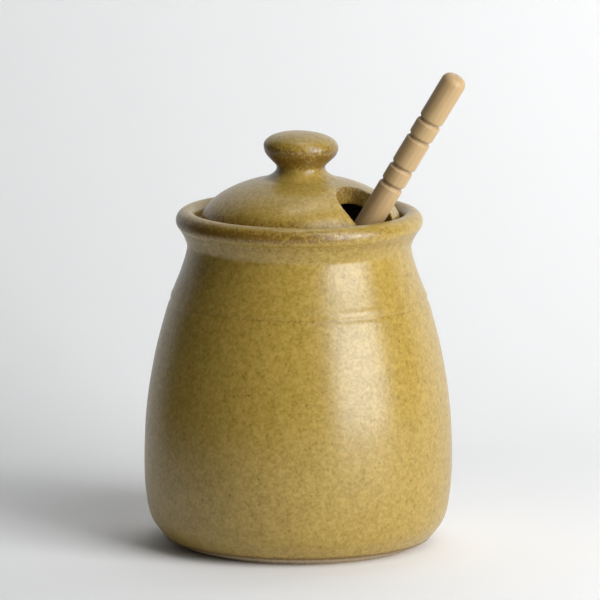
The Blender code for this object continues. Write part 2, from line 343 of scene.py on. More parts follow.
def turned_form_tree():
    """Geometry nodes that turn a half profile round Z, let it stray a little, and lay it in place."""
    tree = bpy.data.node_groups.new("Turned form", "GeometryNodeTree")
    tree.is_modifier = True
    face = tree.interface
    face.new_socket("Profile", in_out="INPUT", socket_type="NodeSocketGeometry")
    sides = face.new_socket("Sides", in_out="INPUT", socket_type="NodeSocketInt")
    sides.min_value = 3
    sides.default_value = 64
    face.new_socket("Wobble", in_out="INPUT", socket_type="NodeSocketFloat").subtype = "DISTANCE"
    face.new_socket("Wobble size", in_out="INPUT", socket_type="NodeSocketFloat").default_value = 30.0
    face.new_socket("Seed", in_out="INPUT", socket_type="NodeSocketFloat")
    face.new_socket("Place", in_out="INPUT", socket_type="NodeSocketVector").subtype = "TRANSLATION"
    face.new_socket("Turn", in_out="INPUT", socket_type="NodeSocketRotation")
    face.new_socket("Material", in_out="INPUT", socket_type="NodeSocketMaterial")
    face.new_socket("Form", in_out="OUTPUT", socket_type="NodeSocketGeometry")
    given = add_node(tree, "NodeGroupInput", (-1800, 0)).outputs

    # One ring of vertices for each point of the profile
    size = add_node(
        tree, "GeometryNodeAttributeDomainSize", (-1500, 300), {"Geometry": given["Profile"]}
    )
    around = maths(tree, "ADD", given["Sides"], 1.0, place=(-1500, 100))
    grid = add_node(
        tree, "GeometryNodeMeshGrid", (-1250, 300),
        {"Vertices X": size.outputs["Point Count"], "Vertices Y": around},
    )
    index = add_node(tree, "GeometryNodeInputIndex", (-1500, -60)).outputs[0]
    ring_share = maths(tree, "DIVIDE", maths(tree, "ADD", index, 0.5), around, place=(-1300, 0))
    ring = maths(tree, "FLOOR", ring_share, place=(-1100, 0))
    side = maths(tree, "SUBTRACT", index, maths(tree, "MULTIPLY", ring, around), place=(-1000, -150))
    part_turn = maths(tree, "MULTIPLY", side, math.tau, place=(-920, -150))
    turn = maths(tree, "DIVIDE", part_turn, given["Sides"], place=(-760, -150))
    position = add_node(tree, "GeometryNodeInputPosition", (-1100, -300)).outputs[0]
    sampled = add_node(
        tree, "GeometryNodeSampleIndex", (-850, 60),
        {"Geometry": given["Profile"], "Value": position, "Index": ring},
        data_type="FLOAT_VECTOR", domain="POINT",
    )
    point = add_node(tree, "ShaderNodeSeparateXYZ", (-650, 60), {0: sampled.outputs[0]}).outputs
    cosine = maths(tree, "COSINE", turn, place=(-600, -120))
    sine = maths(tree, "SINE", turn, place=(-600, -260))

    # The wall strays inwards only, and not at all on the axis
    ideal = round_the_axis(tree, point["X"], cosine, sine, point["Z"], (-350, -100))
    noise = add_node(
        tree, "ShaderNodeTexNoise", (-150, -250),
        {
            "Vector": ideal, "W": given["Seed"], "Scale": given["Wobble size"],
            "Detail": 1.0, "Roughness": 0.4,
        },
        noise_dimensions="4D",
    ).outputs[0]
    away = maths(tree, "DIVIDE", point["X"], STILL_AXIS, clamp=True, place=(-150, -520))
    reach = maths(tree, "MULTIPLY", noise, given["Wobble"], place=(30, -250))
    stray = maths(tree, "MULTIPLY", reach, away, place=(30, -420))
    radius = maths(tree, "SUBTRACT", point["X"], stray, place=(190, -300))
    turned = round_the_axis(tree, radius, cosine, sine, point["Z"], (520, -100))
    shaped = add_node(
        tree, "GeometryNodeSetPosition", (520, 200),
        {"Geometry": grid.outputs["Mesh"], "Position": turned},
    )

    # The piece keeps its own turned coordinates, which a grain or a streak follows
    kept = add_node(
        tree, "GeometryNodeStoreNamedAttribute", (700, 200),
        {"Geometry": shaped.outputs[0], "Name": "turned_place", "Value": turned},
        data_type="FLOAT_VECTOR", domain="POINT",
    )
    closed = add_node(
        tree, "GeometryNodeMergeByDistance", (880, 200),
        {"Geometry": kept.outputs[0], "Distance": WELD},
    )
    placed = add_node(
        tree, "GeometryNodeTransform", (1060, 200),
        {"Geometry": closed.outputs[0], "Translation": given["Place"], "Rotation": given["Turn"]},
    )
    smooth = add_node(tree, "GeometryNodeSetShadeSmooth", (1240, 200), {"Geometry": placed.outputs[0]})
    real = add_node(tree, "GeometryNodeRealizeInstances", (1420, 200), {"Geometry": smooth.outputs[0]})
    coated = add_node(
        tree, "GeometryNodeSetMaterial", (1600, 200),
        {"Geometry": real.outputs[0], "Material": given["Material"]},
    )
    add_node(tree, "NodeGroupOutput", (1780, 200), {"Form": coated.outputs[0]})
    return tree


def shared_tree(name, make):
    """The node group of this name, made on its first use."""
    return bpy.data.node_groups.get(name) or make()


def set_modifier_input(modifier, name, value):
    """Set a Geometry Nodes modifier's input, found by its name and set by its identifier."""
    for item in modifier.node_group.interface.items_tree:
        if item.item_type == "SOCKET" and item.in_out == "INPUT" and item.name == name:
            modifier[item.identifier] = value
            return
    raise KeyError(f"the tree has no input named {name}")


def apply_modifiers(item):
    """Give an object the mesh that its modifiers make, in place of the modifiers."""
    bpy.context.view_layer.update()
    evaluated = item.evaluated_get(bpy.context.evaluated_depsgraph_get())
    mesh = bpy.data.meshes.new_from_object(evaluated)
    mesh.name = item.name
    old = item.data
    item.modifiers.clear()
    item.data = mesh
    bpy.data.meshes.remove(old)


def add_object(name, points, faces, edges=()):
    """A mesh object from its points, faces and loose edges, put in the scene."""
    mesh = bpy.data.meshes.new(name)
    mesh.from_pydata(points, edges, faces)
    item = bpy.data.objects.new(name, mesh)
    bpy.context.scene.collection.objects.link(item)
    return item


def turn_piece(name, profile, material, **inputs):
    """A piece turned round Z from its half profile of (radius, height) points."""
    points = [(radius, 0.0, height) for radius, height in profile]
    edges = [(index, index + 1) for index in range(len(profile) - 1)]
    item = add_object(name, points, [], edges)
    modifier = item.modifiers.new("turned", "NODES")
    modifier.node_group = shared_tree("Turned form", turned_form_tree)
    set_modifier_input(modifier, "Material", material)
    for label, value in inputs.items():
        set_modifier_input(modifier, label.replace("_", " ").capitalize(), value)
    apply_modifiers(item)
    if volume(item.data) < 0.0:
        item.data.flip_normals()
    return item


def volume(mesh):
    """The volume that a closed mesh holds, negative where its faces point inwards."""
    mesh.calc_loop_triangles()
    corners = np.zeros(len(mesh.loop_triangles) * 3, np.int32)
    mesh.loop_triangles.foreach_get("vertices", corners)
    places = vertex_places(mesh)[corners.reshape(-1, 3)]
    return float(np.einsum("ij,ij->i", places[:, 0], np.cross(places[:, 1], places[:, 2])).sum() / 6.0)


def vertex_places(mesh):
    """Every vertex's place, as rows."""
    places = np.zeros(len(mesh.vertices) * 3)
    mesh.vertices.foreach_get("co", places)
    return places.reshape(-1, 3)


def store_mask(mesh, name, values):
    """Keep a number from 0 to 1 for each vertex, for a material to read."""
    attribute = mesh.attributes.new(name, "FLOAT", "POINT")
    attribute.data.foreach_set("value", np.clip(values, 0.0, 1.0).astype(np.float32))


def hump(values, centre, width):
    """1 at the centre, falling smoothly to nearly 0 at twice the width away."""
    return np.exp(-(((values - centre) / width) ** 2))


def scaled(curve, radius, reach, height, rise):
    """A curve's shares as real (radius, height) points, from where it starts and how far it goes."""
    return [(radius + reach * r, height + rise * h) for r, h in curve]


def jar_profile(jar):
    """From the middle of the floor inside, up and over the lip, and down to the middle of the foot."""
    wall = scaled(SHOULDER_TO_HEEL[:-1], -jar.wall, jar.belly_radius, 0.0, jar.crest_height)
    corner = (wall[-1][0] - jar.inner_corner, jar.base + jar.inner_corner)
    floor = [(0.0, jar.base)] + arc(corner, jar.inner_corner, jar.inner_corner, -90.0, -12.0, 14)
    ledge_height = jar.crest_height - jar.ledge_depth
    throat = (jar.mouth_radius, ledge_height - jar.throat)
    inside = floor + smooth_run(wall[-2::-1] + [throat], 8)
    ledge = [
        (jar.mouth_radius, ledge_height),
        (jar.lip_radius - jar.lip_inside, ledge_height),
    ]
    centre = (jar.lip_radius, jar.crest_height - jar.lip_half_height)
    lip = arc(centre, jar.lip_inside, jar.lip_half_height, 180.0, 90.0, 14)
    lip += arc(centre, jar.lip_outside, jar.lip_half_height, 90.0, -50.0, 26)[1:]
    below_lip = (jar.neck_radius + UNDER_LIP_OUT, jar.neck_height + UNDER_LIP_UP)
    belly = scaled(SHOULDER_TO_HEEL, 0.0, jar.belly_radius, 0.0, jar.crest_height)
    neck = (jar.neck_radius, jar.neck_height)
    heel = (jar.heel_radius, jar.heel_height)
    run = smooth_run([lip[-1], below_lip, neck] + belly + [heel], 10)[1:]
    outside = [(radius + thrown_line(jar, height), height) for radius, height in refined(jar, run)]
    foot = [(jar.foot_radius + jar.foot_bevel, jar.foot_bevel), (jar.foot_radius, 0.0), (0.0, 0.0)]
    return soften_corners(inside + ledge + lip + outside + foot, JAR_CORNER, 4)


def refined(jar, run):
    """The run with closer points near the thrown line."""
    finer = []
    for upper, lower in zip(run, run[1:]):
        near = abs(upper[1] - jar.line_height) < 3.0 * jar.line_width
        parts = 5 if near else 1
        for part in range(parts):
            point = Vector(upper).lerp(Vector(lower), part / parts)
            finer.append((point.x, point.y))
    finer.append(run[-1])
    return finer


def thrown_line(jar, height):
    """How far the thrown line stands proud at a height: a ridge over a groove."""
    above = (height - jar.line_height) / jar.line_width
    ridge = jar.line_ridge * hump(above, 0.5, 0.45)
    groove = jar.line_groove * hump(above, -0.5, 0.38)
    return ridge - groove


def lid_profile(lid):
    """From the knob's top down the dome to the lid's edge, then back up its hollow underside."""
    crown = []
    for share in np.linspace(0.0, 1.0, 25):
        radius = lid.knob_radius * math.sin(share * math.pi / 2) ** KNOB_SQUARENESS
        rise = lid.knob_crown * abs(math.cos(share * math.pi / 2)) ** KNOB_SQUARENESS
        crown.append((radius, lid.knob_height + rise))
    overhang = lid.knob_radius - lid.neck_radius
    skirt = scaled(SKIRT_CURVE, lid.neck_radius, overhang, lid.knob_height, -lid.knob_skirt)
    skirt = smooth_run([crown[-2], crown[-1]] + skirt, 6)[6:]
    reach = lid.dome_start - lid.neck_radius
    neck_foot = scaled(NECK_FOOT_CURVE, lid.neck_radius, reach, lid.neck_height, -lid.neck_drop)
    start = math.degrees(math.acos(lid.dome_start / lid.dome_radius))
    end = math.degrees(math.acos(lid.edge_reach / lid.dome_radius))
    dome = arc((0.0, lid.spring_height), lid.dome_radius, lid.dome_rise, start, end, 48)
    neck = smooth_run([skirt[-1]] + neck_foot + dome[:2], 6)[1:-7]
    edge_radius = lid.edge_reach + lid.edge_bulge - lid.edge_round
    edge_height = (dome[-1][1] + lid.seat_height) / 2
    edge_half = edge_height - lid.seat_height
    edge = arc((edge_radius, edge_height), lid.edge_round, edge_half, 20.0, -90.0, 12)
    seat_share = (lid.seat_height - lid.spring_height) / lid.hollow_rise
    hollow_start = math.degrees(math.asin(seat_share))
    hollow = arc((0.0, lid.spring_height), lid.hollow_radius, lid.hollow_rise, hollow_start, 90.0, 40)
    return crown + skirt[1:] + neck + dome + edge + hollow


def lean_knob(mesh, lid):
    """Tip the knob a little to one side, with no change at its neck."""
    places = vertex_places(mesh)
    share = np.clip((places[:, 2] - lid.knob_height + lid.knob_skirt) / lid.knob_skirt, 0.0, 1.0)
    places[:, 2] -= math.tan(lid.knob_lean) * (places[:, 0] - lid.shift) * share
    mesh.vertices.foreach_set("co", places.ravel())
    mesh.update()


def notch_cutter(lid):
    """A round bar that stands where the notch goes, from well below the lid to well above it."""
    sides = 96
    low = lid.seat_height - 10.0 * MM
    high = lid.seat_height + 30.0 * MM
    turns = [math.tau * side / sides for side in range(sides)]
    ring = [(lid.notch_radius * math.cos(turn), lid.notch_radius * math.sin(turn)) for turn in turns]
    points = [(lid.notch_x + x, lid.notch_y + y, z) for z in (low, high) for x, y in ring]
    walls = [(s, (s + 1) % sides, sides + (s + 1) % sides, sides + s) for s in range(sides)]
    caps = [tuple(range(sides - 1, -1, -1)), tuple(range(sides, 2 * sides))]
    return add_object("notch_cutter", points, walls + caps)


def cut_notch(item, lid, glaze):
    """Cut the dipper's notch through the lid, then soften its edges as the glaze does."""
    cutter = notch_cutter(lid)
    cutter_mesh = cutter.data
    notch = item.modifiers.new("notch", "BOOLEAN")
    notch.operation = "DIFFERENCE"
    notch.solver = "EXACT"
    notch.object = cutter
    soften = item.modifiers.new("soften", "REMESH")
    soften.mode = "VOXEL"
    soften.voxel_size = lid.softening
    soften.use_smooth_shade = True
    smooth = item.modifiers.new("smooth", "SMOOTH")
    smooth.factor = 0.5
    smooth.iterations = 10
    apply_modifiers(item)
    item.data.materials.clear()
    item.data.materials.append(glaze)
    bpy.data.objects.remove(cutter)
    bpy.data.meshes.remove(cutter_mesh)


def dipper_profile(dipper):
    """The handle from its rounded end, past two pairs of grooves, to the stacked ridges of the head."""
    radius = dipper.handle_radius
    rounding = (radius - dipper.end_round, -dipper.end_round)
    points = [(0.0, dipper.end_crown)]
    points += arc(rounding, dipper.end_round, dipper.end_round, 90.0, 0.0, 10)
    for groove in HANDLE_GROOVES:
        for share in np.linspace(-1.0, 1.0, 13):
            depth = dipper.groove_depth * (1.0 - abs(share)) ** GROOVE_FULLNESS
            points.append((radius - depth, -groove - share * dipper.groove_width / 2))
    top = dipper.head_length - dipper.total
    taper = top + dipper.head_shoulder
    last_straight = 4.0 * MM
    points += [(radius, taper + last_straight), (radius, taper)]
    points += head_profile(dipper, top)
    points.append((0.0, -dipper.total))
    return soften_corners(points, DIPPER_CORNER, 3)


def head_profile(dipper, top):
    """The head's stacked ridges under an oval outline, down from the height of its top."""
    points = []
    pitch = dipper.head_length / dipper.head_ridges
    gap = HEAD_GAP_SHARE * pitch
    middle = dipper.head_length / 2
    for ridge in range(dipper.head_ridges):
        upper = ridge * pitch + gap / 2
        lower = (ridge + 1) * pitch - gap / 2
        for share in np.linspace(-1.0, 1.0, 7):
            depth = (upper + lower) / 2 + (lower - upper) / 2 * share
            oval = math.sqrt(1.0 - ((depth - middle) / (middle * OVAL_OVERREACH)) ** 2)
            round_off = dipper.ridge_rounding * abs(share) ** 3
            points.append((dipper.head_radius * oval - round_off, top - depth))
        if ridge < dipper.head_ridges - 1:
            inner = points[-1][0] - dipper.head_groove
            points += [(inner, top - lower - gap * part) for part in (0.25, 0.75)]
    return points


def dipper_pose(dipper):
    """Where the handle's end is, and the turn that lays the dipper along its lean."""
    direction = Vector((
        math.sin(dipper.tilt) * math.cos(dipper.heading),
        math.sin(dipper.tilt) * math.sin(dipper.heading),
        math.cos(dipper.tilt),
    ))
    at_lip = Vector((dipper.at_lip_x, dipper.at_lip_y, dipper.at_lip_z))
    turn = Vector((0.0, 0.0, 1.0)).rotation_difference(direction).to_euler()
    return at_lip + direction * dipper.above_lip, turn


def new_group(name, inputs, outputs):
    """An empty shader group with number or vector sockets, and its input and output nodes."""
    kinds = {"float": "NodeSocketFloat", "vector": "NodeSocketVector"}
    tree = bpy.data.node_groups.new(name, "ShaderNodeTree")
    for label, kind, default in inputs:
        socket = tree.interface.new_socket(label, in_out="INPUT", socket_type=kinds[kind])
        if default is not None:
            socket.default_value = default
    for label, kind in outputs:
        tree.interface.new_socket(label, in_out="OUTPUT", socket_type=kinds[kind])
    given = add_node(tree, "NodeGroupInput", (-1400, 0)).outputs
    result = add_node(tree, "NodeGroupOutput", (900, 0)).inputs
    return tree, given, result


def noise_value(tree, vector, scale, detail, roughness=0.5, place=(0, 0)):
    """A noise texture's value."""
    node = add_node(
        tree, "ShaderNodeTexNoise", place,
        {"Vector": vector, "Scale": scale, "Detail": detail, "Roughness": roughness},
    )
    return node.outputs[0]


def ramp(tree, value, low, high, place=(0, 0)):
    """A smooth step of a value from 0 at low to 1 at high."""
    node = add_node(
        tree, "ShaderNodeMapRange", place,
        {"Value": value, "From Min": low, "From Max": high, "To Min": 0.0, "To Max": 1.0},
        interpolation_type="SMOOTHSTEP",
    )
    return node.outputs[0]


def blend_colours(tree, share, first, second, place=(0, 0)):
    """Two colours mixed by a share."""
    node = add_node(tree, "ShaderNodeMix", place, data_type="RGBA")
    for socket, value in ((node.inputs[0], share), (node.inputs[6], first), (node.inputs[7], second)):
        if isinstance(value, bpy.types.NodeSocket):
            tree.links.new(value, socket)
        elif isinstance(value, (float, int)):
            socket.default_value = value
        else:
            socket.default_value = (*value, 1.0)
    return node.outputs[2]


def scattered_spots(tree, vector, scale, chance, size, place):
    """A mask of round spots: one cell in so many has a spot, and each has its own size."""
    x, y = place
    cells = add_node(
        tree, "ShaderNodeTexVoronoi", place, {"Vector": vector, "Scale": scale, "Randomness": 1.0}
    ).outputs
    random = add_node(
        tree, "ShaderNodeSeparateColor", (x + 200, y - 60), {0: cells["Color"]}
    ).outputs
    chosen = ramp(tree, random[0], 1.0 - chance, 1.02 - chance, (x + 400, y))
    smallest = 0.6
    larger = maths(tree, "ADD", random[1], smallest, place=(x + 400, y - 100))
    reach = maths(tree, "MULTIPLY", larger, size, place=(x + 500, y - 150))
    inside = maths(tree, "SUBTRACT", reach, cells["Distance"], place=(x + 600, y - 100))
    edge = maths(tree, "DIVIDE", inside, 0.5 * size, clamp=True, place=(x + 700, y - 50))
    return maths(tree, "MULTIPLY", chosen, edge, place=(x + 800, y))


def speckle_tree():
    """Shader group: iron specks over a mottle of fine, middling and broad grains, as in stoneware."""
    tree, given, result = new_group(
        "Fired speckle",
        [
            ("Place", "vector", None),
            ("Fine", "float", 1.35),
            ("Middling", "float", 0.72),
            ("Broad", "float", 0.15),
        ],
        [("Specks", "float"), ("Mottle", "float"), ("Clouds", "float"), ("Relief", "float")],
    )
    place = given["Place"]
    warp = add_node(
        tree, "ShaderNodeTexNoise", (-1200, -300), {"Vector": place, "Scale": 1500.0, "Detail": 1.0}
    )
    ragged = add_node(
        tree, "ShaderNodeVectorMath", (-1000, -200),
        {0: warp.outputs["Color"], 1: (RAGGEDNESS,) * 3, 2: place}, operation="MULTIPLY_ADD",
    ).outputs[0]
    large = scattered_spots(tree, ragged, 300.0, 0.30, 0.13, (-800, 300))
    small = scattered_spots(tree, ragged, 560.0, 0.42, 0.20, (-800, 0))
    specks = maths(tree, "MAXIMUM", large, maths(tree, "MULTIPLY", small, 0.65), place=(100, 200))
    fine = noise_value(tree, ragged, 900.0, 1.5, 0.6, (-800, -300))
    middling = noise_value(tree, place, 400.0, 1.0, 0.5, (-800, -500))
    broad = noise_value(tree, place, 170.0, 1.0, 0.5, (-800, -700))
    clouds = noise_value(tree, place, 55.0, 2.0, 0.5, (-800, -900))
    mottle = 0.5
    for grain, share in ((fine, "Fine"), (middling, "Middling"), (broad, "Broad")):
        centred = maths(tree, "SUBTRACT", grain, 0.5)
        mottle = maths(tree, "MULTIPLY_ADD", centred, given[share], mottle)
    fine_part = maths(tree, "MULTIPLY", fine, 0.45, place=(100, -500))
    middling_part = maths(tree, "MULTIPLY", middling, 0.55, place=(100, -650))
    relief = maths(tree, "ADD", fine_part, middling_part, place=(300, -500))
    for name, value in (("Specks", specks), ("Mottle", mottle), ("Clouds", clouds), ("Relief", relief)):
        tree.links.new(value, result[name])
    return tree


def object_place(tree):
    """The object's own coordinates."""
    return add_node(tree, "ShaderNodeTexCoord", (-1800, 0)).outputs["Object"]


def vertex_value(tree, name, place, output="Fac"):
    """A value that the mesh holds for each vertex."""
    return add_node(tree, "ShaderNodeAttribute", place, attribute_name=name).outputs[output]


def add_group(tree, name, make, pattern_place):
    """One of the shared shader groups, laid out on the given coordinates. Returns its outputs."""
    group = shared_tree(name, make)
    node = add_node(tree, "ShaderNodeGroup", (-1500, 200), {"Place": pattern_place}, node_tree=group)
    return node.outputs


def add_bump(tree, shader, height, strength, distance):
    """Let a height pattern stand out from the surface by up to a distance."""
    bump = add_node(
        tree, "ShaderNodeBump", (100, -300),
        {"Strength": strength, "Distance": distance, "Height": height},
    )
    tree.links.new(bump.outputs[0], shader.inputs["Normal"])


def new_material(name):
    """An empty material, with its tree and its shader."""
    material = bpy.data.materials.new(name)
    material.use_nodes = True
    tree = material.node_tree
    return material, tree, tree.nodes["Principled BSDF"]


def glaze_material(finish):
    """Satin ochre glaze: specked and mottled, brown where it lies thin and as painted shade, paler on the
    dome as painted light, and bare at the foot.
    """
    material, tree, shader = new_material("Ochre glaze")
    place = object_place(tree)
    marks = add_group(tree, "Fired speckle", speckle_tree, place)
    # This mask holds thin glaze and also painted shade
    thin = vertex_value(tree, "thin_glaze_and_shade", (-1500, -200))
    bare = vertex_value(tree, "bare_clay", (-1500, -400))
    ground = mottled_glaze(tree, marks, finish)
    worn = worn_glaze_and_shade(tree, place, thin)

    # The brown, partly thin glaze and partly painted shade, covers most of the worn grains, and the
    # specks lie over both
    brown_share = maths(tree, "MULTIPLY", worn, 0.92, place=(-500, 100))
    browned = blend_colours(tree, brown_share, ground, finish.rust_and_shade, place=(-300, 300))
    speck_share = maths(tree, "MULTIPLY", marks["Specks"], 0.50, place=(-300, 100))
    glazed = blend_colours(tree, speck_share, browned, finish.iron, place=(-100, 300))
    clay = bare_clay(tree, place, marks, finish)
    base = blend_colours(tree, bare, glazed, clay, place=(100, 300))
    tree.links.new(base, shader.inputs["Base Color"])

    # Dark grains and worn ones are a little duller, and bare clay is matt
    dark = maths(tree, "SUBTRACT", 1.0, marks["Mottle"], place=(-700, -100))
    gloss = maths(tree, "MULTIPLY_ADD", dark, 0.07, 0.265, place=(-500, -100))
    gloss = maths(tree, "MULTIPLY_ADD", worn, 0.05, gloss, place=(-300, -100))
    matt = 0.85
    dull = add_node(tree, "ShaderNodeMix", (-100, -100), {0: bare, 2: gloss, 3: matt}).outputs[0]
    tree.links.new(dull, shader.inputs["Roughness"])
    add_bump(tree, shader, marks["Relief"], 0.5, 0.12 * MM)
    shader.inputs["IOR"].default_value = 1.6
    shader.inputs["Specular Tint"].default_value = (0.90, 0.95, 1.0, 1.0)
    return material


def mottled_glaze(tree, marks, finish):
    """The glaze's grains, paler and darker in slow clouds, and paler on the dome as painted light."""
    painted_light = vertex_value(tree, "dome_painted_light", (-1500, -600))
    cloud = maths(tree, "SUBTRACT", marks["Clouds"], 0.5, place=(-1300, 500))
    drift = maths(tree, "MULTIPLY_ADD", cloud, 0.16, marks["Mottle"], place=(-1200, 400))
    # Painted light: the dome's glaze is made paler
    drift = maths(tree, "MULTIPLY_ADD", painted_light, 0.18, drift, place=(-1050, 400), clamp=True)
    return blend_colours(tree, drift, finish.ochre, finish.honey, place=(-900, 300))


def worn_glaze_and_shade(tree, place, thin):
    """Where the glaze lies thin, and where the brown stands for painted shade, small grains of it let the
    brown through.
    """
    grains = noise_value(tree, place, 1000.0, 2.0, 0.65, (-1300, -200))
    lift = maths(tree, "MULTIPLY_ADD", thin, 0.34, grains, place=(-1150, -200))
    grain_share = ramp(tree, lift, 0.50, 0.84, (-1000, -200))
    thin_and_shaded_share = ramp(tree, thin, 0.05, 0.5, (-1000, -350))
    return maths(tree, "MULTIPLY", grain_share, thin_and_shaded_share, place=(-800, -250))


def bare_clay(tree, place, marks, finish):
    """The unglazed clay, gritty and with fainter specks."""
    grit = noise_value(tree, place, 1300.0, 2.0, 0.6, (-900, -500))
    grit_share = ramp(tree, grit, 0.35, 0.7, (-700, -500))
    clay = blend_colours(tree, grit_share, finish.bare_clay, finish.grit, place=(-500, -500))
    speck_share = maths(tree, "MULTIPLY", marks["Specks"], 0.4, place=(-500, -700))
    return blend_colours(tree, speck_share, clay, finish.iron, place=(-300, -500))


def grain_tree():
    """Shader group: growth bands, fibres and short flecks of wood whose grain runs along Z."""
    tree, given, result = new_group(
        "Wood grain",
        [("Place", "vector", None)],
        [("Bands", "float"), ("Fibres", "float"), ("Flecks", "float")],
    )
    off_heart = add_node(
        tree, "ShaderNodeMapping", (-1200, 0),
        {"Vector": given["Place"], "Location": HEARTWOOD, "Rotation": GRAIN_LEAN},
    ).outputs[0]
    stretched = add_node(
        tree, "ShaderNodeMapping", (-1200, -300), {"Vector": given["Place"], "Scale": (1.0, 1.0, 0.05)}
    ).outputs[0]
    flat = add_node(
        tree, "ShaderNodeMapping", (-1000, 0), {"Vector": off_heart, "Scale": (1.0, 1.0, 0.0)}
    ).outputs[0]
    distance = add_node(
        tree, "ShaderNodeVectorMath", (-800, 0), {0: flat}, operation="LENGTH"
    ).outputs["Value"]
    drift = noise_value(tree, stretched, 120.0, 2.0, 0.5, (-800, -200))
    even_rings = maths(tree, "MULTIPLY", distance, math.tau / RING_SPACING, place=(-600, 0))
    rings = maths(tree, "ADD", even_rings, maths(tree, "MULTIPLY", drift, 5.0), place=(-400, 0))
    wave = maths(tree, "SINE", rings, place=(-200, 0))
    bands = maths(tree, "MULTIPLY_ADD", wave, 0.5, 0.5, place=(0, 0))
    tree.links.new(bands, result["Bands"])
    fibres = noise_value(tree, stretched, 2600.0, 3.0, 0.6, (-800, -400))
    tree.links.new(fibres, result["Fibres"])
    dashes = add_node(
        tree, "ShaderNodeMapping", (-1000, -600), {"Vector": given["Place"], "Scale": (1.0, 1.0, 0.22)}
    ).outputs[0]
    flecks = scattered_spots(tree, dashes, 1900.0, 0.20, 0.20, (-800, -600))
    tree.links.new(flecks, result["Flecks"])
    return tree


def wood_material(finish):
    """Pale sanded beech, with its grain along the dipper and painted shade in the handle's grooves."""
    material, tree, shader = new_material("Beech")
    place = vertex_value(tree, "turned_place", (-1800, 0), "Vector")
    marks = add_group(tree, "Wood grain", grain_tree, place)
    band_part = maths(tree, "MULTIPLY", marks["Bands"], 0.25, place=(-1350, 100))
    share = maths(tree, "MULTIPLY_ADD", marks["Fibres"], 0.9, band_part, place=(-1300, 300))
    late_share = ramp(tree, share, 0.35, 1.05, (-1150, 200))
    tone = blend_colours(tree, late_share, finish.beech, finish.beech_late, place=(-900, 200))
    fleck_share = maths(tree, "MULTIPLY", marks["Flecks"], 0.35, place=(-800, 0))
    flecked = blend_colours(tree, fleck_share, tone, finish.beech_fleck_and_groove_shade, place=(-600, 200))
    # Painted shade: the handle's grooves are darkened by their depth
    groove = vertex_value(tree, "groove", (-900, -200))
    groove_shade_share = maths(tree, "MULTIPLY", groove, 0.6, place=(-500, 0))
    groove_shaded = blend_colours(tree, groove_shade_share, flecked, finish.beech_fleck_and_groove_shade, place=(-300, 200))
    tree.links.new(groove_shaded, shader.inputs["Base Color"])
    shader.inputs["Roughness"].default_value = 0.5
    shader.inputs["Sheen Weight"].default_value = 0.25
    shader.inputs["Sheen Roughness"].default_value = 0.4
    height = maths(tree, "SUBTRACT", marks["Fibres"], marks["Flecks"], place=(-300, -300))
    add_bump(tree, shader, height, 0.4, 0.1 * MM)
    return material


def floor_material(studio):
    """Plain pale paper, clear from its back, so that the pot can be seen from every side."""
    material, tree, shader = new_material("Studio sweep")
    place = object_place(tree)
    patches = noise_value(tree, place, 9.0, 2.0)
    darker = tuple(0.985 * part for part in studio.floor)
    tone = blend_colours(tree, patches, studio.floor, darker)
    tree.links.new(tone, shader.inputs["Base Color"])
    shader.inputs["Roughness"].default_value = 0.8
    shader.inputs["Specular IOR Level"].default_value = 0.15
    behind = add_node(tree, "ShaderNodeNewGeometry", (0, -400)).outputs["Backfacing"]
    clear = add_node(tree, "ShaderNodeBsdfTransparent", (0, -600)).outputs[0]
    one_sided = add_node(
        tree, "ShaderNodeMixShader", (400, 0), {0: behind, 1: shader.outputs[0], 2: clear}
    )
    tree.links.new(one_sided.outputs[0], tree.nodes["Material Output"].inputs["Surface"])
    return material


def shared_material(name, make, settings):
    """The material of this name, made on its first use."""
    return bpy.data.materials.get(name) or make(settings)


def round_and_up(mesh, shift=0.0):
    """Each vertex's turn and radius round an upright axis that is shifted along X, and its height."""
    places = vertex_places(mesh)
    across = places[:, 0] - shift
    return np.arctan2(places[:, 1], across), np.hypot(across, places[:, 1]), places[:, 2]


def store_jar_masks(mesh, jar):
    """Brown on the lip, partly thin glaze and partly painted shade on its side away from the light;
    painted shade under the lip and in the thrown line's groove; thin glaze above the foot; bare clay on
    foot and ledge.
    """
    turn, radius, height = round_and_up(mesh)
    outside = radius > jar.lip_radius
    # Painted shade: the lip's brown grows towards the side away from the light
    shaded_side = 0.12 + 0.88 * (0.5 + 0.5 * np.cos(turn - LIP_BROWN_AND_SHADE_TURN)) ** 2
    lip = hump(height, jar.crest_height - 3.2 * MM, 2.4 * MM) * outside * shaded_side
    # Painted shade under the lip's overhang
    neck = hump(height, jar.neck_height + 6.0 * MM, 2.5 * MM) * (radius > jar.neck_radius - 1.0 * MM)
    foot = hump(height, jar.heel_height + 0.45 * MM, 0.6 * MM) * (radius > jar.foot_radius)
    # Painted shade in the groove under the thrown line's ridge
    line = hump(height, jar.line_height - 0.5 * jar.line_width, 0.6 * MM) * outside
    thin = np.max([lip, 0.33 * neck, 1.3 * foot, 0.33 * line], axis=0)
    store_mask(mesh, "thin_glaze_and_shade", thin)
    ledge = jar.crest_height - jar.ledge_depth
    on_ledge = (abs(height - ledge) < 0.6 * MM) * (radius < jar.lip_radius - 2.0 * MM)
    under = height < jar.heel_height - 0.15 * MM
    store_mask(mesh, "bare_clay", np.maximum(on_ledge, under).astype(float))


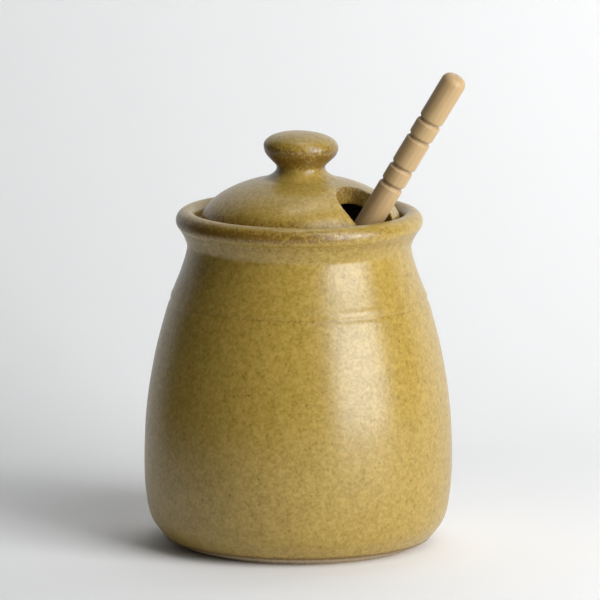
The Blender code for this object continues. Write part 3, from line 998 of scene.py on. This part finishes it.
def store_lid_masks(mesh, lid):
    """Brown round the notch and at the edge where the glaze lies thin; brown under the knob and towards
    the rim on the side away from the light, partly thin glaze and partly painted shade; painted light on
    the dome; bare underneath.
    """
    turn, radius, height = round_and_up(mesh, lid.shift)
    places = vertex_places(mesh)
    from_notch = np.hypot(places[:, 0] - lid.notch_x, places[:, 1] - lid.notch_y) - lid.notch_radius
    # Painted shade: the rim's brown grows towards the side away from the light
    shaded_side = 0.55 + 0.45 * np.cos(turn - RIM_BROWN_AND_SHADE_TURN)
    towards_edge = np.clip(1.0 - (lid.edge_reach - radius) / RIM_BROWN_AND_SHADE_WIDTH, 0.0, 1.0)
    # Brown under the knob: partly thin glaze, partly painted shade
    skirt = hump(height, lid.knob_height - 0.45 * lid.knob_skirt, 5.0 * MM) * (radius < lid.knob_radius)
    notch = hump(from_notch, 0.0, 0.9 * MM)
    edge = hump(height, lid.seat_height + 0.8 * MM, 1.6 * MM) * (radius > lid.edge_reach - 1.5 * MM)
    rim = towards_edge ** 1.5 * shaded_side
    thin = np.max([0.8 * skirt, 0.55 * notch, 0.5 * edge, 0.65 * rim], axis=0)
    store_mask(mesh, "thin_glaze_and_shade", thin)
    # Painted light: the dome is marked to be paler, fading towards the edge
    on_dome = (radius > lid.neck_radius) * (height < lid.neck_height)
    store_mask(mesh, "dome_painted_light", (1.0 - towards_edge) * on_dome)
    store_mask(mesh, "bare_clay", (height < lid.seat_height + 0.25 * MM).astype(float))


def store_groove_mask(mesh, dipper):
    """How deep each vertex lies in one of the handle's grooves."""
    turned = np.zeros(len(mesh.vertices) * 3)
    mesh.attributes["turned_place"].data.foreach_get("vector", turned)
    across, along, height = turned.reshape(-1, 3).T
    depth = (dipper.handle_radius - np.hypot(across, along)) / dipper.groove_depth
    on_handle = (height < -2.0 * dipper.end_round) * (height > -HANDLE_SHOWN)
    # The depth sets the painted shade in the grooves
    store_mask(mesh, "groove", on_handle * depth)


class HONEYPOT_OT_jar(bpy.types.Operator):
    """Throw the jar: foot, belly, neck and rolled lip."""

    bl_idname = "honeypot.jar"
    bl_label = "Jar"

    def execute(self, context):
        scene = context.scene
        jar = scene.honeypot_jar
        glaze = shared_material("Ochre glaze", glaze_material, scene.honeypot_finish)
        item = turn_piece(
            "honey_jar", jar_profile(jar), glaze, sides=jar.sides, wobble=jar.wobble, seed=3.0
        )
        store_jar_masks(item.data, jar)
        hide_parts("jar")
        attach(item, "root")
        return {"FINISHED"}


class HONEYPOT_OT_lid(bpy.types.Operator):
    """Turn the domed lid and its knob, and cut the notch."""

    bl_idname = "honeypot.lid"
    bl_label = "Lid"

    def execute(self, context):
        scene = context.scene
        lid = scene.honeypot_lid
        glaze = shared_material("Ochre glaze", glaze_material, scene.honeypot_finish)
        item = turn_piece(
            "honey_lid", lid_profile(lid), glaze,
            sides=lid.sides, wobble=lid.wobble, seed=11.0, place=(lid.shift, 0.0, 0.0),
        )
        lean_knob(item.data, lid)
        cut_notch(item, lid, glaze)
        store_lid_masks(item.data, lid)
        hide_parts("lid")
        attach(item, "root")
        return {"FINISHED"}


class HONEYPOT_OT_dipper(bpy.types.Operator):
    """Turn the wooden dipper and lean it in the notch."""

    bl_idname = "honeypot.dipper"
    bl_label = "Dipper"

    def execute(self, context):
        scene = context.scene
        dipper = scene.honeypot_dipper
        wood = shared_material("Beech", wood_material, scene.honeypot_finish)
        place, turn = dipper_pose(dipper)
        item = turn_piece(
            "honey_dipper", dipper_profile(dipper), wood, sides=dipper.sides, place=place, turn=turn
        )
        store_groove_mask(item.data, dipper)
        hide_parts("dipper")
        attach(item, "root")
        return {"FINISHED"}


class HONEYPOT_OT_studio(bpy.types.Operator):
    """Lay the pale sweep, and set the board, the lights, the room and the camera."""

    bl_idname = "honeypot.studio"
    bl_label = "Studio"

    def execute(self, context):
        scene = context.scene
        studio = scene.honeypot_studio
        sweep_object(floor_material(studio))
        board_object(board_material())
        set_lights(studio)
        set_room(studio)
        set_camera()
        scene.view_settings.view_transform = "Standard"
        return {"FINISHED"}


def sweep_object(material):
    """The floor, which curves up into the wall behind."""
    front = -2.4
    bend_start = 0.16
    bend = 0.25
    top = 2.0
    half_width = 3.2
    line = [(front, 0.0), (bend_start, 0.0)]
    for turn in np.linspace(0.1, math.pi / 2, 16):
        line.append((bend_start + bend * math.sin(turn), bend * (1 - math.cos(turn))))
    line.append((bend_start + bend, top))
    points = [(x, y, z) for x in (-half_width, half_width) for y, z in line]
    stations = len(line)
    faces = [(stations + i, stations + i + 1, i + 1, i) for i in range(stations - 1)]
    item = add_object("studio_sweep", points, faces)
    item.data.materials.append(material)
    item.data.shade_smooth()
    return item


def board_material():
    """Dull black, which lights nothing."""
    material, _, shader = new_material("Black board")
    shader.inputs["Base Color"].default_value = (0.015, 0.015, 0.015, 1.0)
    shader.inputs["Roughness"].default_value = 1.0
    shader.inputs["Specular IOR Level"].default_value = 0.0
    return material


def board_object(material):
    """A board at the left, unseen by the camera, which keeps the pot's shaded side dark."""
    x = -0.30
    near = -1.6
    far = 0.14
    bottom = 0.001
    top = 0.90
    points = [(x, near, bottom), (x, far, bottom), (x, far, top), (x, near, top)]
    item = add_object("black_board", points, [(0, 1, 2, 3)])
    item.data.materials.append(material)
    item.visible_camera = False
    item.visible_shadow = False
    return item


def add_area_light(name, azimuth, elevation, distance, size, power, target=(0.0, 0.0, 0.07)):
    """A rectangular soft light that faces its target. Azimuth 0 is the camera's side, 90 its right."""
    light = bpy.data.lights.new(name, "AREA")
    light.shape = "RECTANGLE"
    light.size, light.size_y = size
    light.energy = power
    item = bpy.data.objects.new(name, light)
    across = math.cos(math.radians(elevation))
    direction = Vector((
        across * math.sin(math.radians(azimuth)),
        -across * math.cos(math.radians(azimuth)),
        math.sin(math.radians(elevation)),
    ))
    item.location = Vector(target) + direction * distance
    item.rotation_euler = direction.to_track_quat("Z", "Y").to_euler()
    bpy.context.scene.collection.objects.link(item)


def set_lights(studio):
    """A wide low soft box at the right and in front, a weaker one above it, and one overhead."""
    add_area_light("key_softbox", 50.0, 15.0, 1.0, (0.74, 0.60), studio.key_power)
    add_area_light("upper_softbox", 45.0, 50.0, 1.0, (0.60, 0.60), studio.upper_power)
    add_area_light("overhead", 45.0, 86.6, 1.2, (0.8, 0.3), studio.top_power, (0.05, 0.3, 0.1))


def set_room(studio):
    """A room that gives next to no light, but looks pale to the camera."""
    world = bpy.data.worlds.new("Studio room")
    bpy.context.scene.world = world
    world.use_nodes = True
    tree = world.node_tree
    background = tree.nodes["Background"]
    background.inputs["Color"].default_value = (0.9, 0.95, 1.0, 1.0)
    seen = add_node(tree, "ShaderNodeLightPath", (-600, 0)).outputs["Is Camera Ray"]
    glow = maths(tree, "MULTIPLY_ADD", seen, studio.backdrop, studio.fill, place=(-300, 0))
    tree.links.new(glow, background.inputs["Strength"])


def set_camera():
    """A long lens, a little above the pot, level but for a hint of roll."""
    distance = 3.0
    elevation = math.radians(10.36)
    level = 0.070
    aim = Vector((0.0004, 0.0, 0.0892))
    roll = math.radians(0.27)
    camera = bpy.data.cameras.new("camera")
    camera.lens = 495.0
    camera.sensor_width = 36.0
    camera.clip_start = 0.1
    camera.clip_end = 20.0
    item = bpy.data.objects.new("camera", camera)
    place = Vector((0.0, -distance * math.cos(elevation), level + distance * math.sin(elevation)))
    turn = (place - aim).to_track_quat("Z", "Y").to_matrix().to_4x4()
    item.matrix_world = Matrix.Translation(place) @ turn @ Matrix.Rotation(roll, 4, "Z")
    bpy.context.scene.collection.objects.link(item)
    bpy.context.scene.camera = item


class HONEYPOT_PT_panel(bpy.types.Panel):
    """Sizes, colours and the steps that make the pot."""

    bl_label = "Honey pot"
    bl_idname = "HONEYPOT_PT_panel"
    bl_space_type = "VIEW_3D"
    bl_region_type = "UI"
    bl_category = "Honey pot"

    def draw(self, context):
        layout = self.layout
        for name, group in SETTINGS.items():
            box = layout.box()
            box.label(text=name.replace("honeypot_", "").capitalize())
            settings = getattr(context.scene, name)
            for key in group.__annotations__:
                box.prop(settings, key)
        for operator in OPERATORS:
            layout.operator(operator.bl_idname)


SETTINGS = {
    "honeypot_jar": HoneyPotJar,
    "honeypot_lid": HoneyPotLid,
    "honeypot_dipper": HoneyPotDipper,
    "honeypot_finish": HoneyPotFinish,
    "honeypot_studio": HoneyPotStudio,
}
OPERATORS = (HONEYPOT_OT_jar, HONEYPOT_OT_lid, HONEYPOT_OT_dipper, HONEYPOT_OT_studio)


def register():
    """Register the settings, the operators and the panel."""
    for name, group in SETTINGS.items():
        bpy.utils.register_class(group)
        setattr(bpy.types.Scene, name, PointerProperty(type=group))
    for item in (*OPERATORS, HONEYPOT_PT_panel):
        bpy.utils.register_class(item)


def unregister():
    """Take them all away again."""
    for item in (HONEYPOT_PT_panel, *reversed(OPERATORS)):
        bpy.utils.unregister_class(item)
    for name, group in reversed(SETTINGS.items()):
        delattr(bpy.types.Scene, name)
        bpy.utils.unregister_class(group)


def main():
    """Make every piece and the studio."""
    register()
    bpy.ops.honeypot.jar()
    bpy.ops.honeypot.lid()
    bpy.ops.honeypot.dipper()
    bpy.ops.honeypot.studio()


if __name__ == "__main__":
    main()
